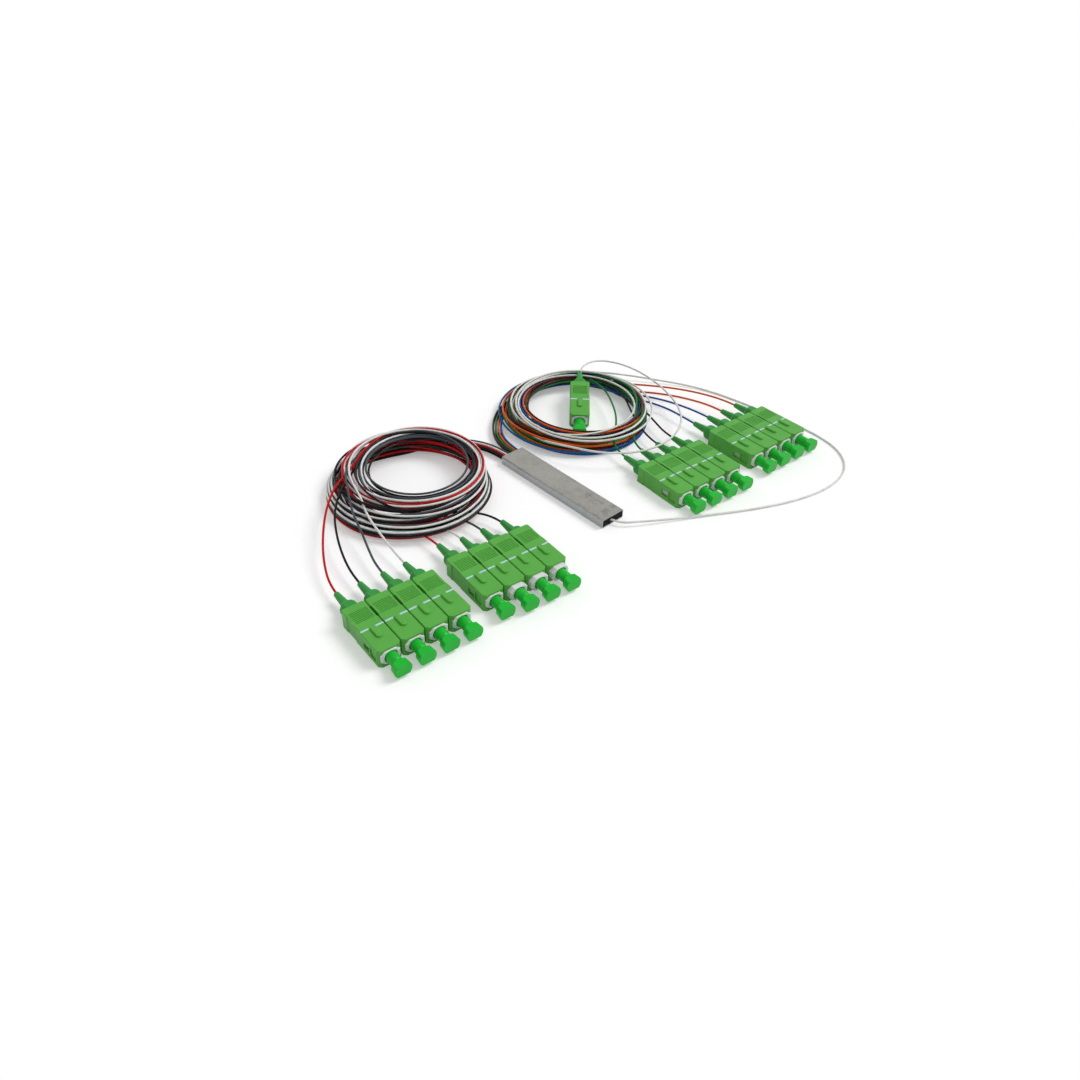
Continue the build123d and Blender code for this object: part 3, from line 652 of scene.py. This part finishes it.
def rolledSteel():
    # thin rolled steel: lines along the tube, an even mottle, cloudy wear, a painted bluish reflection on
    # the flanks, and smudges and a few dark specks that gather towards the input end
    own = steelFinish
    finish = Finish("rolledSteel")
    lines = finish.noise(1.0, 3.0, 0.6, finish.stretched(own["lineScales"]))
    clouds = finish.noise(own["cloudScale"], 4.0, 0.6)
    fine = finish.noise(own["fineScale"], 3.0, 0.6)
    mottle = finish.between(finish.noise(own["mottleScale"], 3.0, 0.65), 0.34, 0.66)
    smudges = finish.between(finish.noise(own["smudgeScale"], 5.0, 0.7), 0.49, 0.66)
    along = finish.node("SeparateXYZ", None, {0: finish.place}, output="X")
    towardsInput = finish.between(along, own["dirtFrom"], own["dirtTo"])
    cellInputs = {"Vector": finish.place, "Scale": own["speckScale"], "Randomness": 1.0}
    cells = finish.node("TexVoronoi", None, cellInputs, output="Distance")
    patches = finish.between(finish.noise(own["patchScale"], 2.0), 0.52, 0.60)
    speck = finish.between(cells, 0.10, 0.20, (1.0, 0.0)) * patches
    # painted reflection: faces that stand up from the floor, found by their normals, are tinted bluer and
    # darker
    facing = finish.node("NewGeometry", output="Normal")
    up = finish.node("SeparateXYZ", None, {0: facing}, output="Z")
    paintedFlankMask = finish.between(up, 0.30, 0.85, (1.0, 0.0))
    worn = finish.between(clouds, 0.35, 0.70) * 0.4 + lines * 0.2 + mottle * 0.35
    colour = finish.blend(worn, own["colour"], own["worn"])
    colour = finish.blend(smudges * towardsInput * 0.7, colour, own["smudge"])
    # the flanks get their painted bluish reflection here
    colour = finish.blend(paintedFlankMask * 0.8, colour, own["paintedFlankReflection"])
    colour = finish.blend(speck * towardsInput * 0.8, colour, own["speck"])
    gloss = own["gloss"] + (lines - 0.5) * 0.16 + (clouds - 0.5) * 0.14 + speck * towardsInput * 0.2
    metal = 1.0 - speck * towardsInput * 0.6
    normal = finish.bump(lines * 0.8 + fine * 0.4, own["line"] * mm, 0.7)
    return finish.close(Base_Color=colour, Metallic=metal, Roughness=gloss, Normal=normal)


resinFinish = {
    "colour": (0.0035, 0.0035, 0.0040), "fleck": (0.012, 0.012, 0.013), "gloss": 0.16,
    "waveScale": 420, "waveDepth": 0.16, "fleckScale": 2400, "refraction": 1.53, "mirror": 0.05,
}


def curedResin():
    # black potting resin: glossy, a little wavy, with dull flecks
    own = resinFinish
    finish = Finish("curedResin")
    waves = finish.noise(own["waveScale"], 2.0)
    flecks = finish.between(finish.noise(own["fleckScale"], 2.0), 0.58, 0.70)
    colour = finish.blend(flecks * 0.6, own["colour"], own["fleck"])
    normal = finish.bump(waves, own["waveDepth"] * mm, 0.8)
    gloss = own["gloss"] + flecks * 0.3 + waves * 0.08
    return finish.close(Base_Color=colour, Roughness=gloss, Normal=normal,
                        IOR=own["refraction"], Specular_IOR_Level=own["mirror"])


glassFinish = {"clear": (0.55, 0.60, 0.60), "dull": (0.66, 0.70, 0.70), "gloss": 0.18,
               "groundScale": 1800, "groundDepth": 0.004, "refraction": 1.46}


def chipGlass():
    # ground glass of the chip and its blocks: the same noise dulls it, pales it and roughens it
    own = glassFinish
    finish = Finish("chipGlass")
    ground = finish.noise(own["groundScale"], 3.0)
    colour = finish.blend(ground, own["clear"], own["dull"])
    normal = finish.bump(ground, own["groundDepth"] * mm)
    return finish.close(Base_Color=colour, Roughness=own["gloss"] + ground * 0.2, Normal=normal,
                        IOR=own["refraction"])


finishes = {name: mouldedPlastic(name) for name in plastics}
finishes.update(steel=rolledSteel(), resin=curedResin(), glass=chipGlass())
# which finish a node wears, by the start of its name
wears = {
    "grip": "gripGreen", "dust": "capGreen", "boots": "bootGreen", "plug": "frameWhite",
    "housing": "steel", "input": "resin", "output": "resin", "ferrules": "ceramicWhite",
    "splitter": "glass",
}
for name, obj in nodeObjects.items():
    for start, finish in wears.items():
        if name.startswith(start):
            obj.data.materials.clear()
            obj.data.materials.append(finishes[finish])
skins = {name: tubeSkin(name) for name in tubing}
for port, cordObject in cords.items():
    colour = "natural" if port == "input" else tubeOrder[(int(port) - 1) % len(tubeOrder)]
    cordObject.data.materials.append(skins[colour])
    "tube_" + colour
print("finishes made")


# two printed dashes on each grip, on both sides of its key's rear end: where each one starts and ends
# along the grip and across it, the ink's height and depth, and the grip's own section
dash = {"start": 12.95, "end": 13.75, "inner": 1.30, "outer": 4.36, "proud": 0.02, "depth": 0.03,
        "edge": 0.45, "halfWidth": 4.5, "halfHeight": 3.7, "columns": 15, "rows": 4}


def dashGrid(side):
    # u runs along the grip and v across it; the height is the grip's flat top up to its rounded edge,
    # then the edge's quarter circle, and both are lifted by the ink's thickness
    u = np.linspace(dash["start"], dash["end"], dash["rows"])
    v = np.linspace(dash["inner"], dash["outer"], dash["columns"])
    u, v = np.meshgrid(u, v, indexing="ij")
    over = np.maximum(v - (dash["halfWidth"] - dash["edge"]), 0.0)
    w = dash["halfHeight"] - dash["edge"] + np.sqrt(np.maximum(dash["edge"] ** 2 - over ** 2, 0.0))
    grid = np.stack([u, v * side, w + dash["proud"]], axis=-1)
    return grid if side > 0 else grid[:, ::-1]


def gridFaces(rows, columns, start):
    # quads between neighbouring grid points, all turned the same way
    i, j = np.meshgrid(np.arange(rows - 1), np.arange(columns - 1), indexing="ij")
    a = start + i * columns + j
    return np.stack([a, a + columns, a + columns + 1, a + 1], axis=-1).reshape(-1, 4)


def addDashes(port):
    # both dashes of one plug as one mesh: grid points along, across and up, carried to the grip's place
    origin, ahead, side, up = places[port][:4]
    grids = [dashGrid(1), dashGrid(-1)]
    count = dash["rows"] * dash["columns"]
    local = np.concatenate([grid.reshape(-1, 3) for grid in grids])
    verts = (origin + local @ np.stack([ahead, side, up])) * mm
    faces = np.concatenate([gridFaces(dash["rows"], dash["columns"], start) for start in (0, count)])
    mesh = bpy.data.meshes.new(f"printedDashes{port}")
    mesh.from_pydata(verts, [], faces.tolist())
    mesh.shade_smooth()
    obj = bpy.data.objects.new(mesh.name, mesh)
    scene.collection.objects.link(obj)
    mesh.materials.append(finishes["printedDash"])
    solid = obj.modifiers.new("ink", "SOLIDIFY")
    solid.thickness = dash["depth"] * mm
    solid.offset = -1
    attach(obj, f"grip_{port}")


for port in places:
    addDashes(port)
print("dashes printed")

# floor, world and lamp: the camera, gloss and glass see white, and the floor keeps the shadow; gloss
# sees the world darken to overhead as the ray's height goes from horizon to zenith
studio = {"floorReach": 6.0, "floorColour": (0.80, 0.80, 0.80), "floorLift": 0.30,
          "worldStrength": 0.50, "overhead": 0.45, "horizon": 0.15, "zenith": 0.90,
          "sun": 1.60, "sunAngle": 28.0, "sunFrom": (0.35, 0.75, 1.0)}


def rayIs(nodes, kind):
    return nodes.node("LightPath", output=f"Is {kind} Ray")


def seesWhite(nodes):
    # 1 for camera, glossy and transmitted rays, 0 for the light that falls on things
    seen = rayIs(nodes, "Camera").orLarger(rayIs(nodes, "Glossy"))
    return seen.orLarger(rayIs(nodes, "Transmission"))


def addFloor():
    # one square at height 0, whose paint is matt plus a glow that the light on things doesn't get
    mesh = bpy.data.meshes.new("floor")
    reach = studio["floorReach"]
    corners = [(-reach, -reach, 0), (reach, -reach, 0), (reach, reach, 0), (-reach, reach, 0)]
    mesh.from_pydata(corners, [], [(0, 1, 2, 3)])
    floor = bpy.data.objects.new("floor", mesh)
    scene.collection.objects.link(floor)
    paint = bpy.data.materials.new("floorPaint")
    nodes = Nodes(paint)
    matt = nodes.node("BsdfDiffuse", None, {"Color": (*studio["floorColour"], 1)})
    glow = nodes.node("Emission", None, {"Strength": seesWhite(nodes) * studio["floorLift"]})
    both = nodes.node("AddShader", None, {0: matt, 1: glow})
    nodes.node("OutputMaterial", None, {"Surface": both}, output=None)
    mesh.materials.append(paint)


def addWorld():
    # the camera sees white everywhere; gloss sees white around the horizon and a darker grey overhead
    world = bpy.data.worlds.new("studio")
    scene.world = world
    nodes = Nodes(world)
    height = nodes.node("SeparateXYZ", None, {0: nodes.node("TexCoord", output="Generated")}, output="Z")
    shown = nodes.between(height, studio["horizon"], studio["zenith"], (1.0, studio["overhead"]))
    shown = shown.orLarger(rayIs(nodes, "Camera"))
    strength = nodes.between(seesWhite(nodes), 0.0, 1.0, (studio["worldStrength"], shown))
    light = nodes.node("Background", None, {"Color": (1, 1, 1, 1), "Strength": strength})
    nodes.node("OutputWorld", None, {"Surface": light}, output=None)


def addSun():
    # one soft lamp, turned so that it shines from sunFrom
    data = bpy.data.lights.new("softSun", "SUN")
    data.energy = studio["sun"]
    data.angle = radians(studio["sunAngle"])
    sun = bpy.data.objects.new("softSun", data)
    sun.rotation_euler = Vector(studio["sunFrom"]).to_track_quat("Z", "Y").to_euler()
    scene.collection.objects.link(sun)


addFloor()
addWorld()
addSun()
print("studio lit")
